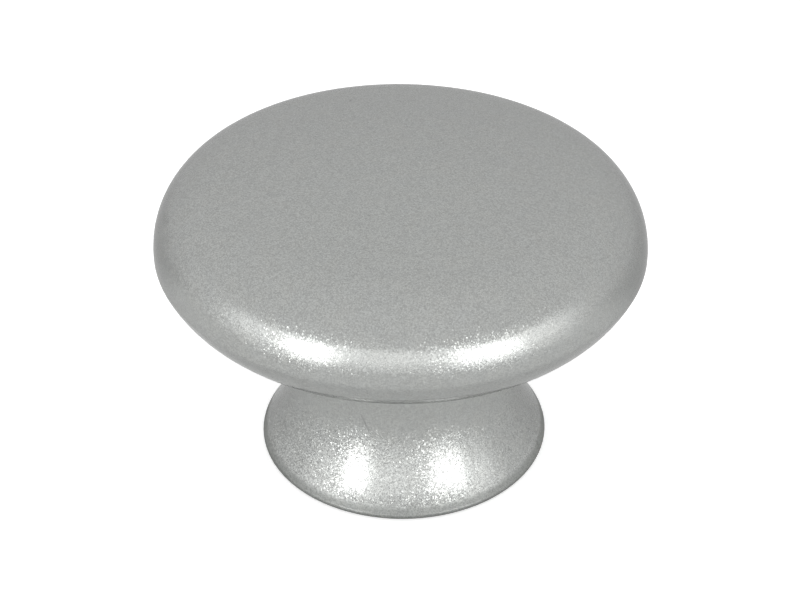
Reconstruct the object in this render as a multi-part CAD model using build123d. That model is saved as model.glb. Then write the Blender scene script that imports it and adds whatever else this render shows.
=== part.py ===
from build123d import *
from math import atan2, cos, degrees, radians, sin, sqrt, tan
import os

# Cabinet knob: one die-cast piece, a solid of revolution about +Z.
# It stands on its foot, with the origin at the middle of the seating face.
# Lengths are in millimetres and angles in degrees. An angle in the section is that of the
# surface's outward normal, counted up from the radial direction.

# Whole knob
knob_height = 25.9
head_diameter = 38.0
foot_diameter = 23.9

# Upper side of the head: a shallow crown, tangent to the round of the rim
crown_edge_angle = 80.5
rim_radius = 5.7

# Under side of the head: the rim's lower round, the bowl, and a cone in to the neck
under_rim_radius = 1.0
under_rim_angle = 20.5
bowl_radius = 6.7
bowl_angle = 68.0
neck_round = 1.6

# Foot: a hollow flare from the neck out to the rounded lip that meets the door
flare_radius = 15.0
flare_angle = 35.0
lip_radius = 0.4

# Seating face: outer land and centre boss in one plane, with a shallow relief between them
land_width = 2.6
boss_diameter = 9.0
relief_depth = 0.7
relief_draft = 5.0

# Blind hole for an M4 machine screw, at the drilled size that the thread is cut into
thread_diameter = 4.0
thread_pitch = 0.7
thread_depth = 12.0
mouth_clearance = 0.25
drill_point_angle = 118.0

head_radius = head_diameter / 2
foot_radius = foot_diameter / 2
hole_radius = (thread_diameter - thread_pitch) / 2
mouth_radius = thread_diameter / 2 + mouth_clearance
up = 90
out = 0
down = -90


def outward(angle):
    """Unit vector in the section, at an angle up from the radial direction."""
    return Vector(cos(radians(angle)), sin(radians(angle)))


def convex(center, radius, first, last):
    """Arc that bulges out of the metal, from one normal's angle to another's."""
    return CenterArc(center, radius, first, last - first)


def hollow(center, radius, first, last):
    """Arc that is hollowed into the metal, from one normal's angle to another's."""
    return CenterArc(center, radius, 180 + first, last - first)


def head_top():
    """Crown and rim, from the axis out to the widest circle, and the height of that circle."""
    rim_reach = rim_radius * (1 - cos(radians(crown_edge_angle)))
    crown_radius = (head_radius - rim_reach) / cos(radians(crown_edge_angle))
    crown_center = Vector(0, knob_height - crown_radius)
    rim_center = crown_center + (crown_radius - rim_radius) * outward(crown_edge_angle)
    crown = convex(crown_center, crown_radius, up, crown_edge_angle)
    rim = convex(rim_center, rim_radius, crown_edge_angle, out)
    return [crown, rim], rim_center.Y


def head_underside(rim_height):
    """Lower round of the rim and the bowl, from the widest circle in to the cone above the neck."""
    round_center = Vector(head_radius - under_rim_radius, rim_height)
    bowl_center = round_center - (bowl_radius - under_rim_radius) * outward(-under_rim_angle)
    return [
        convex(round_center, under_rim_radius, out, -under_rim_angle),
        convex(bowl_center, bowl_radius, -under_rim_angle, -bowl_angle),
    ]


def flare_middle(lip_center):
    """Centre of the flare's arc, which is tangent to the lip where the flare ends."""
    return lip_center + (flare_radius + lip_radius) * outward(flare_angle)


def neck_middle(cone_top, flare_center):
    """Centre of the neck's round, which is tangent to the head's cone and to the flare."""
    down_the_cone = outward(down - bowl_angle)
    start = cone_top + neck_round * outward(-bowl_angle) - flare_center
    reach = flare_radius - neck_round
    nearest = start.dot(down_the_cone)
    travel = sqrt(nearest**2 - start.dot(start) + reach**2) - nearest
    return flare_center + start + travel * down_the_cone


def neck_and_foot(cone_top):
    """Cone, neck, flare and lip, from the bowl down to the seating face."""
    lip_center = Vector(foot_radius - lip_radius, lip_radius)
    flare_center = flare_middle(lip_center)
    neck_center = neck_middle(cone_top, flare_center)
    across = flare_center - neck_center
    touch_angle = degrees(atan2(across.Y, across.X))
    corner = hollow(neck_center, neck_round, -bowl_angle, touch_angle)
    return [
        Line(cone_top, corner @ 0),
        corner,
        hollow(flare_center, flare_radius, touch_angle, flare_angle),
        convex(lip_center, lip_radius, flare_angle, down),
    ]


def casting():
    """The solid outside form of the knob."""
    top, rim_height = head_top()
    underside = head_underside(rim_height)
    stem = neck_and_foot(underside[-1] @ 1)
    seat_edge = stem[-1] @ 1
    crown_middle = top[0] @ 0
    closing = [Line(seat_edge, (0, 0)), Line((0, 0), crown_middle)]
    outline = make_face(top + underside + stem + closing)
    return revolve(Plane.XZ * outline, Axis.Z)


def seat_relief():
    """Shallow ring under the foot, between the boss and the outer land, with drafted walls."""
    inner = boss_diameter / 2
    outer = foot_radius - lip_radius - land_width
    ring = Trapezoid(outer - inner, relief_depth, up - relief_draft, align=(Align.MIN, Align.MIN))
    return revolve(Plane.XZ * Pos(inner, 0) * ring, Axis.Z)


def screw_hole():
    """Blind hole in the boss, with a countersunk mouth and the drill's pointed end."""
    mouth_depth = mouth_radius - hole_radius
    point_depth = hole_radius / tan(radians(drill_point_angle / 2))
    section = Polyline(
        (0, 0),
        (mouth_radius, 0),
        (hole_radius, mouth_depth),
        (hole_radius, thread_depth),
        (0, thread_depth + point_depth),
        close=True,
    )
    return revolve(Plane.XZ * make_face(section), Axis.Z)


knob = casting() - seat_relief() - screw_hole()
knob.label = "knob"

os.makedirs("parts", exist_ok=True)
export_step(knob, "parts/knob.step")
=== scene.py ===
import math
import bpy
from mathutils import Matrix, Vector


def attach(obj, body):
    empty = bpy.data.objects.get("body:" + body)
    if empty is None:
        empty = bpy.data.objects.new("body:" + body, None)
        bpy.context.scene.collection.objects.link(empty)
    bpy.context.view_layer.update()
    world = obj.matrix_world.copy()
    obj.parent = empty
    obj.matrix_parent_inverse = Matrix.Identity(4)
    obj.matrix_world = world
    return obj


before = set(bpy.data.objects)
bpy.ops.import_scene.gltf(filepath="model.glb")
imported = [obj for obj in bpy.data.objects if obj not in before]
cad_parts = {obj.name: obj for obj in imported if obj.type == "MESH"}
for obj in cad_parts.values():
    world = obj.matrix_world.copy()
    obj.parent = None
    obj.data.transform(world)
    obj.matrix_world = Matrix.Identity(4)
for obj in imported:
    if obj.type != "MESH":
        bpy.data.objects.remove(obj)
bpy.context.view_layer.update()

# Cabinet knob: the CAD solid with a silver lacquer, and the thread in its screw hole.
# Lengths are in metres and angles in degrees. An azimuth is counted to the right from straight
# in front of the knob, which is -Y. Two azimuths, heights or distances in brackets are where a
# smooth change starts and where it ends.
scene = bpy.context.scene
MM = 0.001
WHITE = (1, 1, 1)

# Camera: close to the knob, looking down on it, turned a little about its own line of sight.
# The lens and the sensor are in Blender's own millimetres.
EYE = Vector((10.96, -95.95, 80.36)) * MM
SIGHT_DOWN = 36.91
ROLL = 3.65
FOCAL_LENGTH, SENSOR_WIDTH = 65.57, 36.0
SHIFT = (-0.1721, 0.0693)
CLIP_START, CLIP_END = 0.005, 10.0

# Room: white, and a little darker low down behind the knob
ROOM_GLOW = 0.95
ROOM_SLOPE = (0, -0.08, 0.05)

# Screen: low and curved, round the front of the knob. It glows all over, a lit part of it glows
# more, and two lamps shine through it.
SCREEN_RADIUS = 1.50
SCREEN_LEFT, SCREEN_RIGHT = -100.0, 105.0
SCREEN_TOP = 26.0
SCREEN_COLUMNS, SCREEN_ROWS = 120, 26
SCREEN_GLOW, LIT_GLOW = 1.0, 0.8
LIT_FROM, LIT_TO = (-84.0, -58.0), (68.0, 94.0)
LIT_UP_TO = (13.0, 20.0)

# Lamps: middle azimuth, half width and strength of each
LAMPS = ((-33.5, 10.0, 4.2), (41.0, 13.5, 3.1))
LAMPS_UP_TO = (9.5, 16.0)
LAMP_SHARPNESS = 4.0

# Backdrop: a grey dome round everything, that only the camera sees
BACKDROP_RADIUS = 1.35
BACKDROP_FOOT, BACKDROP_TOP = -2.0, 90.0
BACKDROP_COLUMNS, BACKDROP_ROWS = 96, 24
BACKDROP_GLOW = 0.68

# Floor: a glossy table, greyer behind the knob as painted shade that the knob mirrors, and over it
# a paper that glows in a painted pool of light round the knob and is as grey as the backdrop further off
FLOOR_HALF = 4.0
TABLE_DROP = 0.02 * MM
TABLE_WHITE, TABLE_SHADE_GREY = 0.92, 0.6
TABLE_SHADE_FADE = (0.0, 28 * MM)
TABLE_ROUGHNESS, TABLE_COAT_ROUGHNESS = 0.6, 0.08
TABLE_GLOW = 0.06
PAPER_WHITE, PAPER_ROUGHNESS = 0.9, 1.0
PAPER_GLOW = 0.44
LIGHT_POOL_MIDDLE = (0, 42 * MM, 0)
LIGHT_POOL_EDGE = (92 * MM, 190 * MM)

# Heights where one zone of the lacquer gives way to the next
LIP_TO_FOOT = (0.7 * MM, 1.4 * MM)
FOOT_TO_NECK = (4.5 * MM, 7.5 * MM)
NECK_TO_UNDERSIDE = (9.0 * MM, 11.0 * MM)
UNDERSIDE_TO_RIM = (16.4 * MM, 19.0 * MM)

# Flakes: size, the most that one leans, and how far their tones differ. The values for the lip,
# the underside and the bare zinc are factors on those.
FLAKE = 0.08 * MM
LEAN_HEAD, LEAN_FOOT = 0.36, 0.72
LEAN_LIP, LEAN_UNDERSIDE, LEAN_BARE = 0.2, 0.15, 0.35
LEAN_POWER = 1.5
CONTRAST_HEAD, CONTRAST_FOOT, CONTRAST_LIP = 0.42, 0.75, 0.5

# Lacquer: colours, the size of their clouds, painted shade that darkens the lip, painted bounce light
# that lightens the underside, and gloss
SILVER = (0.323, 0.336, 0.329)
SILVER_WARM = (0.337, 0.344, 0.327)
SILVER_CLOUD = 1.4 * MM
PAINTED_SHADE_LIP, PAINTED_LIGHT_UNDERSIDE = 0.88, 1.5
EDGE_TINT = (0.55, 0.55, 0.55)
ROUGHNESS, ROUGHNESS_LIP = 0.22, 0.5
COAT, COAT_LIP = 0.55, 0.15
COAT_ROUGHNESS = 0.08
COAT_IOR = 2.4

# Small marks in the lacquer: two ends in millimetres, width in millimetres, strength
MARKS = (
    ((-5.52, 10.45, 25.08), (-5.52, 10.25, 25.12), 0.10, 0.30),
    ((-4.65, 6.95, 25.50), (-4.65, 6.80, 25.51), 0.09, 0.22),
    ((-17.30, -4.50, 22.30), (-16.80, -5.80, 22.60), 0.30, 0.09),
    ((14.55, -12.15, 19.60), (14.80, -11.90, 19.52), 0.10, 0.22),
    ((-9.36, -4.50, 3.30), (-9.30, -4.96, 2.97), 0.08, 0.42),
    ((-2.42, -8.88, 8.10), (-1.78, -9.19, 6.80), 0.06, 0.45),
    ((11.37, -2.60, 0.98), (11.40, -2.40, 0.98), 0.12, 0.34),
)

# Bare zinc under the foot, inside the ragged ring that the spray reached, and in the screw hole
ZINC = (0.36, 0.365, 0.375)
ZINC_DARK = 0.82
ZINC_CLOUD = 0.7 * MM
ZINC_ROUGHNESS = 0.46
SPRAYED_FROM = 11.0 * MM
SPRAY_SOFT = 0.25 * MM
SPRAY_RAGGED, SPRAY_GRAIN = 1.4 * MM, 0.16 * MM
RELIEF_TOP = (0.75 * MM, 0.78 * MM)
HOLE_WITHIN = 5.0 * MM
HOLE_END = (13.4 * MM, 13.5 * MM)

# M4 thread in the hole. A corner of its section is a share of the depth and one of the pitch.
# The thread runs in and out over some turns, and keeps a share of its depth and width there.
THREAD_PITCH = 0.7 * MM
THREAD_ROOT, THREAD_CREST = 1.66 * MM, 1.40 * MM
THREAD_SECTION = ((0.0, -0.30), (1.0, -0.08), (1.0, 0.08), (0.0, 0.30))
THREAD_START = 0.75 * MM
THREAD_TURNS = 14
THREAD_STEPS = 48
RUN_IN, RUN_OUT = 0.5, 1.0
RUN_DEPTH, RUN_WIDTH = 0.02, 0.35

# Cut zinc of the thread: clouds of smoother and rougher metal, and a fine grain. The two numbers
# in brackets are levels of the clouds' noise.
CUT_CLOUD, CUT_CLOUDED = 0.3 * MM, (0.3, 0.7)
CUT_SMOOTH, CUT_ROUGH = 0.26, 0.40
CUT_GRAIN, CUT_DEPTH, CUT_STRENGTH = 0.05 * MM, 0.01 * MM, 0.3


def new_camera():
    sight = math.radians(SIGHT_DOWN)
    roll = math.radians(ROLL)
    forward = Vector((0, math.cos(sight), -math.sin(sight)))
    level_up = Vector((0, math.sin(sight), math.cos(sight)))
    level_right = Vector((1, 0, 0))
    right = math.cos(roll) * level_right + math.sin(roll) * level_up
    up = -math.sin(roll) * level_right + math.cos(roll) * level_up
    data = bpy.data.cameras.new("camera")
    data.lens = FOCAL_LENGTH
    data.sensor_width = SENSOR_WIDTH
    data.shift_x, data.shift_y = SHIFT
    data.clip_start, data.clip_end = CLIP_START, CLIP_END
    camera = bpy.data.objects.new("camera", data)
    scene.collection.objects.link(camera)
    turn = Matrix((right, up, -forward)).transposed()
    camera.matrix_world = Matrix.Translation(EYE) @ turn.to_4x4()
    scene.camera = camera


def mesh_object(name, verts, faces):
    mesh = bpy.data.meshes.new(name)
    mesh.from_pydata(verts, [], faces)
    mesh.update()
    obj = bpy.data.objects.new(name, mesh)
    scene.collection.objects.link(obj)
    return obj


def grid(columns, rows):
    """How far along and up each point of a grid is, as two shares, and the faces between them."""
    shares = [(i / columns, j / rows) for i in range(columns + 1) for j in range(rows + 1)]
    faces = []
    for i in range(columns):
        for j in range(rows):
            a = i * (rows + 1) + j
            b = a + rows + 1
            faces.append((a, a + 1, b + 1, b))
    return shares, faces


def only_for_camera(obj):
    for kind in ("diffuse", "glossy", "transmission", "volume_scatter", "shadow"):
        setattr(obj, "visible_" + kind, False)


def node(tree, kind, **values):
    made = tree.nodes.new(kind)
    for key, value in values.items():
        setattr(made, key, value)
    return made


def feed(tree, socket, value):
    """Links a socket to another one, or sets it to a number, a vector or a colour."""
    if isinstance(value, bpy.types.NodeSocket):
        tree.links.new(value, socket)
    elif socket.type == "RGBA":
        socket.default_value = (*value, 1)
    else:
        socket.default_value = value


def fill(tree, made, values):
    """Feeds a node's sockets by name."""
    for name, value in values.items():
        feed(tree, made.inputs[name], value)


def new_material(name, kind):
    """Material with one shader of a kind, and its node tree and that shader."""
    material = bpy.data.materials.new(name)
    material.use_nodes = True
    tree = material.node_tree
    tree.nodes.clear()
    shader = node(tree, kind)
    out = node(tree, "ShaderNodeOutputMaterial")
    tree.links.new(shader.outputs[0], out.inputs["Surface"])
    return material, tree, shader


def math_node(tree, operation, *values):
    made = node(tree, "ShaderNodeMath", operation=operation)
    for socket, value in zip(made.inputs, values):
        feed(tree, socket, value)
    return made.outputs[0]


def summed(tree, first, *others):
    for other in others:
        first = math_node(tree, "ADD", first, other)
    return first


def product(tree, first, *others):
    for other in others:
        first = math_node(tree, "MULTIPLY", first, other)
    return first


def vector_node(tree, operation, *values, result="Vector"):
    made = node(tree, "ShaderNodeVectorMath", operation=operation)
    for socket, value in zip(made.inputs, values):
        feed(tree, socket, value)
    return made.outputs[result]


def scaled(tree, vector, factor):
    made = node(tree, "ShaderNodeVectorMath", operation="SCALE")
    fill(tree, made, {"Vector": vector, "Scale": factor})
    return made.outputs["Vector"]


def object_place(tree):
    return node(tree, "ShaderNodeTexCoord").outputs["Object"]


def split(tree, place):
    """The three coordinates of a place."""
    made = node(tree, "ShaderNodeSeparateXYZ")
    tree.links.new(place, made.inputs[0])
    return made.outputs


def ramp(tree, value, change, low=0.0, high=1.0):
    """Goes smoothly from low, where the change starts, to high, where it ends, and stays there."""
    made = node(tree, "ShaderNodeMapRange", interpolation_type="SMOOTHSTEP")
    start, end = change
    fill(tree, made, {"Value": value, "From Min": start, "From Max": end, "To Min": low, "To Max": high})
    return made.outputs["Result"]


def blend(tree, zone, outside, inside):
    """A number that is different inside a zone."""
    return ramp(tree, zone, (0.0, 1.0), outside, inside)


def mix(tree, factor, a, b):
    """Colour between a and b. The node's sockets for colours are inputs 6 and 7 and output 2."""
    made = node(tree, "ShaderNodeMix", data_type="RGBA")
    for socket, value in ((made.inputs[0], factor), (made.inputs[6], a), (made.inputs[7], b)):
        feed(tree, socket, value)
    return made.outputs[2]


def noise(tree, place, size, detail=2.0):
    made = node(tree, "ShaderNodeTexNoise")
    fill(tree, made, {"Vector": place, "Scale": 1 / size, "Detail": detail})
    return made.outputs["Fac"]


def room():
    world = bpy.data.worlds.new("room")
    scene.world = world
    world.use_nodes = True
    tree = world.node_tree
    way = node(tree, "ShaderNodeTexCoord").outputs["Generated"]
    slope = vector_node(tree, "DOT_PRODUCT", way, ROOM_SLOPE, result="Value")
    fill(tree, tree.nodes["Background"], {"Color": WHITE, "Strength": summed(tree, slope, ROOM_GLOW)})


def lamp(tree, azimuth, middle, half_width, strength):
    """Evenly bright patch with soft sides."""
    away = math_node(tree, "DIVIDE", math_node(tree, "SUBTRACT", azimuth, middle), half_width)
    power = math_node(tree, "POWER", math_node(tree, "ABSOLUTE", away), LAMP_SHARPNESS)
    patch = math_node(tree, "EXPONENT", product(tree, power, -1.0))
    return product(tree, patch, strength)


def screen_light():
    """White glow that is brighter in front of the knob and brightest at the lamps."""
    material, tree, shader = new_material("screen", "ShaderNodeEmission")
    azimuth = node(tree, "ShaderNodeAttribute", attribute_name="azimuth").outputs["Fac"]
    height = node(tree, "ShaderNodeAttribute", attribute_name="height").outputs["Fac"]
    across = product(tree, ramp(tree, azimuth, LIT_FROM), ramp(tree, azimuth, LIT_TO, 1.0, 0.0))
    lit = product(tree, across, ramp(tree, height, LIT_UP_TO, 1.0, 0.0))
    lamps = summed(tree, *[lamp(tree, azimuth, *one) for one in LAMPS])
    lamps = product(tree, lamps, ramp(tree, height, LAMPS_UP_TO, 1.0, 0.0))
    feed(tree, shader.inputs["Strength"], summed(tree, product(tree, lit, LIT_GLOW), lamps, SCREEN_GLOW))
    return material


def screen():
    shares, faces = grid(SCREEN_COLUMNS, SCREEN_ROWS)
    azimuths = [SCREEN_LEFT + (SCREEN_RIGHT - SCREEN_LEFT) * along for along, up in shares]
    heights = [SCREEN_TOP * up for along, up in shares]
    verts = []
    for azimuth, height in zip(azimuths, heights):
        turn = math.radians(azimuth)
        level = math.tan(math.radians(height))
        verts.append(SCREEN_RADIUS * Vector((math.sin(turn), -math.cos(turn), level)))
    obj = mesh_object("screen", verts, faces)
    for name, values in (("azimuth", azimuths), ("height", heights)):
        layer = obj.data.attributes.new(name, "FLOAT", "POINT")
        layer.data.foreach_set("value", values)
    obj.data.materials.append(screen_light())


def backdrop():
    shares, faces = grid(BACKDROP_COLUMNS, BACKDROP_ROWS)
    verts = []
    for along, up in shares:
        turn = math.radians(360 * along)
        height = math.radians(BACKDROP_FOOT + (BACKDROP_TOP - BACKDROP_FOOT) * up)
        away = Vector((math.cos(turn), math.sin(turn), 0)) * math.cos(height)
        verts.append(BACKDROP_RADIUS * (away + Vector((0, 0, math.sin(height)))))
    obj = mesh_object("backdrop", verts, faces)
    only_for_camera(obj)
    material, tree, shader = new_material("backdrop", "ShaderNodeEmission")
    feed(tree, shader.inputs["Strength"], BACKDROP_GLOW)
    obj.data.materials.append(material)


def sheet(name, height, roughness):
    """Wide level square that can glow white, and its node tree and shader."""
    half = FLOOR_HALF
    corners = [(-half, -half, height), (half, -half, height), (half, half, height), (-half, half, height)]
    obj = mesh_object(name, corners, [(0, 1, 2, 3)])
    material, tree, shader = new_material(name, "ShaderNodeBsdfPrincipled")
    fill(tree, shader, {"Roughness": roughness, "Emission Color": WHITE})
    obj.data.materials.append(material)
    return obj, tree, shader


def table():
    """The knob mirrors the table, and the camera doesn't see it."""
    obj, tree, shader = sheet("table", -TABLE_DROP, TABLE_ROUGHNESS)
    obj.visible_camera = False
    # The grey behind the knob is painted shade, which the knob mirrors.
    behind = split(tree, object_place(tree))[1]
    fill(tree, shader, {
        "Base Color": ramp(tree, behind, TABLE_SHADE_FADE, TABLE_WHITE, TABLE_SHADE_GREY),
        "Coat Weight": 1.0,
        "Coat Roughness": TABLE_COAT_ROUGHNESS,
        "Emission Strength": TABLE_GLOW,
    })


def paper():
    """The camera sees the paper with the knob's soft shadow on it, and the knob doesn't mirror it."""
    obj, tree, shader = sheet("paper", 0.0, PAPER_ROUGHNESS)
    only_for_camera(obj)
    # Painted pool of light: going away from the knob, the paper's white fades to nothing and its glow to
    # the backdrop's grey.
    away = vector_node(tree, "DISTANCE", object_place(tree), LIGHT_POOL_MIDDLE, result="Value")
    painted_light_pool = ramp(tree, away, LIGHT_POOL_EDGE, 1.0, 0.0)
    fill(tree, shader, {
        "Base Color": product(tree, painted_light_pool, PAPER_WHITE),
        "Specular IOR Level": 0.0,
        "Emission Strength": blend(tree, painted_light_pool, BACKDROP_GLOW, PAPER_GLOW),
    })


def mark(tree, place, first, last, width, strength):
    """Soft spot or scratch between two points."""
    first, last = Vector(first) * MM, Vector(last) * MM
    along = last - first
    local = node(tree, "ShaderNodeMapping", vector_type="TEXTURE")
    fill(tree, local, {
        "Vector": place,
        "Location": (first + last) / 2,
        "Rotation": along.to_track_quat("Z", "Y").to_euler(),
        "Scale": (width * MM, width * MM, width * MM + along.length / 2),
    })
    away = vector_node(tree, "LENGTH", local.outputs[0], result="Value")
    fall = math_node(tree, "EXPONENT", product(tree, away, away, -1.0))
    return product(tree, fall, strength)


def zinc_tone(tree, place):
    """Dull cast zinc, clouded."""
    dark = tuple(ZINC_DARK * part for part in ZINC)
    return mix(tree, noise(tree, place, ZINC_CLOUD, 4.0), dark, ZINC)


def bare_metal(tree, place):
    """One where the spray didn't reach, inside the foot's outer edge and in the screw hole."""
    x, y, z = split(tree, place)
    radius = math_node(tree, "SQRT", summed(tree, product(tree, x, x), product(tree, y, y)))
    below = ramp(tree, z, RELIEF_TOP, 1.0, 0.0)
    reach = product(tree, below, SPRAYED_FROM - HOLE_WITHIN)
    ragged = math_node(tree, "SUBTRACT", noise(tree, place, SPRAY_GRAIN, 3.0), 0.5)
    edge = summed(tree, math_node(tree, "SUBTRACT", radius, reach), product(tree, ragged, SPRAY_RAGGED))
    inside = ramp(tree, edge, (HOLE_WITHIN - SPRAY_SOFT, HOLE_WITHIN + SPRAY_SOFT), 1.0, 0.0)
    return product(tree, inside, ramp(tree, z, HOLE_END, 1.0, 0.0))


def zones(tree, place):
    """Each is one in its zone and nought outside it."""
    height = split(tree, place)[2]
    below_rim = ramp(tree, height, UNDERSIDE_TO_RIM, 1.0, 0.0)
    return {
        "lip": ramp(tree, height, LIP_TO_FOOT, 1.0, 0.0),
        "foot": ramp(tree, height, FOOT_TO_NECK, 1.0, 0.0),
        "underside": product(tree, ramp(tree, height, NECK_TO_UNDERSIDE), below_rim),
        "bare": bare_metal(tree, place),
    }


def flake_normals(tree, flakes, zone):
    """The surface's normal, tipped in each flake: most lie nearly flat, and a few lean far."""
    chance = node(tree, "ShaderNodeTexWhiteNoise", noise_dimensions="3D")
    tree.links.new(flakes.outputs["Position"], chance.inputs["Vector"])
    tilt = product(
        tree,
        math_node(tree, "POWER", chance.outputs["Value"], LEAN_POWER),
        blend(tree, zone["foot"], LEAN_HEAD, LEAN_FOOT),
        blend(tree, zone["lip"], 1.0, LEAN_LIP),
        blend(tree, zone["bare"], 1.0, LEAN_BARE),
        blend(tree, zone["underside"], 1.0, LEAN_UNDERSIDE),
    )
    lean = vector_node(tree, "SUBTRACT", flakes.outputs["Color"], (0.5, 0.5, 0.5))
    surface = node(tree, "ShaderNodeNewGeometry").outputs["Normal"]
    tipped = vector_node(tree, "ADD", surface, scaled(tree, lean, tilt))
    return vector_node(tree, "NORMALIZE", tipped)


def flake_tones_with_painted_light(tree, flakes, zone):
    """Each flake's own brightness, times painted shade on the lip and painted bounce light on the
    underside.
    """
    parts = node(tree, "ShaderNodeSeparateColor")
    tree.links.new(flakes.outputs["Color"], parts.inputs["Color"])
    contrast = product(
        tree,
        blend(tree, zone["foot"], CONTRAST_HEAD, CONTRAST_FOOT),
        blend(tree, zone["lip"], 1.0, CONTRAST_LIP),
    )
    tone = product(tree, math_node(tree, "SUBTRACT", parts.outputs["Red"], 0.5), contrast)
    # Painted shade darkens the lip, and painted bounce light lightens the head's underside.
    tone = summed(tree, tone, blend(tree, zone["lip"], 1.0, PAINTED_SHADE_LIP))
    return product(tree, tone, blend(tree, zone["underside"], 1.0, PAINTED_LIGHT_UNDERSIDE))


def lacquer():
    """Silver lacquer: fine metal flakes under a thin glossy skin, and bare zinc under the foot."""
    material, tree, shader = new_material("silver_lacquer", "ShaderNodeBsdfPrincipled")
    place = object_place(tree)
    zone = zones(tree, place)
    flakes = node(tree, "ShaderNodeTexVoronoi", feature="F1")
    fill(tree, flakes, {"Vector": place, "Scale": 1 / FLAKE})

    tone = flake_tones_with_painted_light(tree, flakes, zone)
    for one in MARKS:
        tone = math_node(tree, "SUBTRACT", tone, mark(tree, place, *one))
    silver = mix(tree, noise(tree, place, SILVER_CLOUD), SILVER, SILVER_WARM)
    colour = mix(tree, zone["bare"], silver, zinc_tone(tree, place))

    rough_by_bare = blend(tree, zone["bare"], ROUGHNESS, ZINC_ROUGHNESS)
    rough_by_lip = blend(tree, zone["lip"], ROUGHNESS, ROUGHNESS_LIP)
    coat_by_bare = blend(tree, zone["bare"], COAT, 0.0)
    coat_by_lip = blend(tree, zone["lip"], 1.0, COAT_LIP)
    fill(tree, shader, {
        "Base Color": scaled(tree, colour, tone),
        "Metallic": 1.0,
        "Specular Tint": EDGE_TINT,
        "Roughness": math_node(tree, "MAXIMUM", rough_by_bare, rough_by_lip),
        "Coat Weight": product(tree, coat_by_bare, coat_by_lip),
        "Coat Roughness": COAT_ROUGHNESS,
        "Coat IOR": COAT_IOR,
        "Normal": flake_normals(tree, flakes, zone),
    })
    return material


def cut_zinc():
    """The thread's metal, brighter than the cast skin."""
    material, tree, shader = new_material("cut_zinc", "ShaderNodeBsdfPrincipled")
    place = object_place(tree)
    bump = node(tree, "ShaderNodeBump")
    grain = noise(tree, place, CUT_GRAIN)
    fill(tree, bump, {"Strength": CUT_STRENGTH, "Distance": CUT_DEPTH, "Height": grain})
    fill(tree, shader, {
        "Base Color": zinc_tone(tree, place),
        "Metallic": 1.0,
        "Roughness": ramp(tree, noise(tree, place, CUT_CLOUD), CUT_CLOUDED, CUT_SMOOTH, CUT_ROUGH),
        "Normal": bump.outputs[0],
    })
    return material


def thread():
    """Right-hand thread that winds up the wall of the screw hole and runs out at both ends."""
    steps = THREAD_TURNS * THREAD_STEPS
    verts = []
    for i in range(steps + 1):
        turn = i / THREAD_STEPS
        angle = 2 * math.pi * turn
        full = min(1.0, turn / RUN_IN, (THREAD_TURNS - turn) / RUN_OUT)
        depth = (THREAD_CREST - THREAD_ROOT) * max(full, RUN_DEPTH)
        width = THREAD_PITCH * (RUN_WIDTH + (1 - RUN_WIDTH) * full)
        for inward, upward in THREAD_SECTION:
            radius = THREAD_ROOT + depth * inward
            height = THREAD_START + THREAD_PITCH * turn + width * upward
            verts.append((radius * math.cos(angle), radius * math.sin(angle), height))

    corners = len(THREAD_SECTION)
    end = steps * corners
    faces = [tuple(reversed(range(corners))), tuple(range(end, end + corners))]
    for a in range(0, end, corners):
        b = a + corners
        for j in range(corners):
            k = (j + 1) % corners
            faces.append((a + j, a + k, b + k, b + j))
    obj = mesh_object("screw_thread", verts, faces)
    obj.data.materials.append(cut_zinc())
    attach(obj, "root")


scene.view_settings.view_transform = "Standard"
new_camera()
room()
screen()
backdrop()
table()
paper()
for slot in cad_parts["knob"].material_slots:
    slot.material = lacquer()
thread()
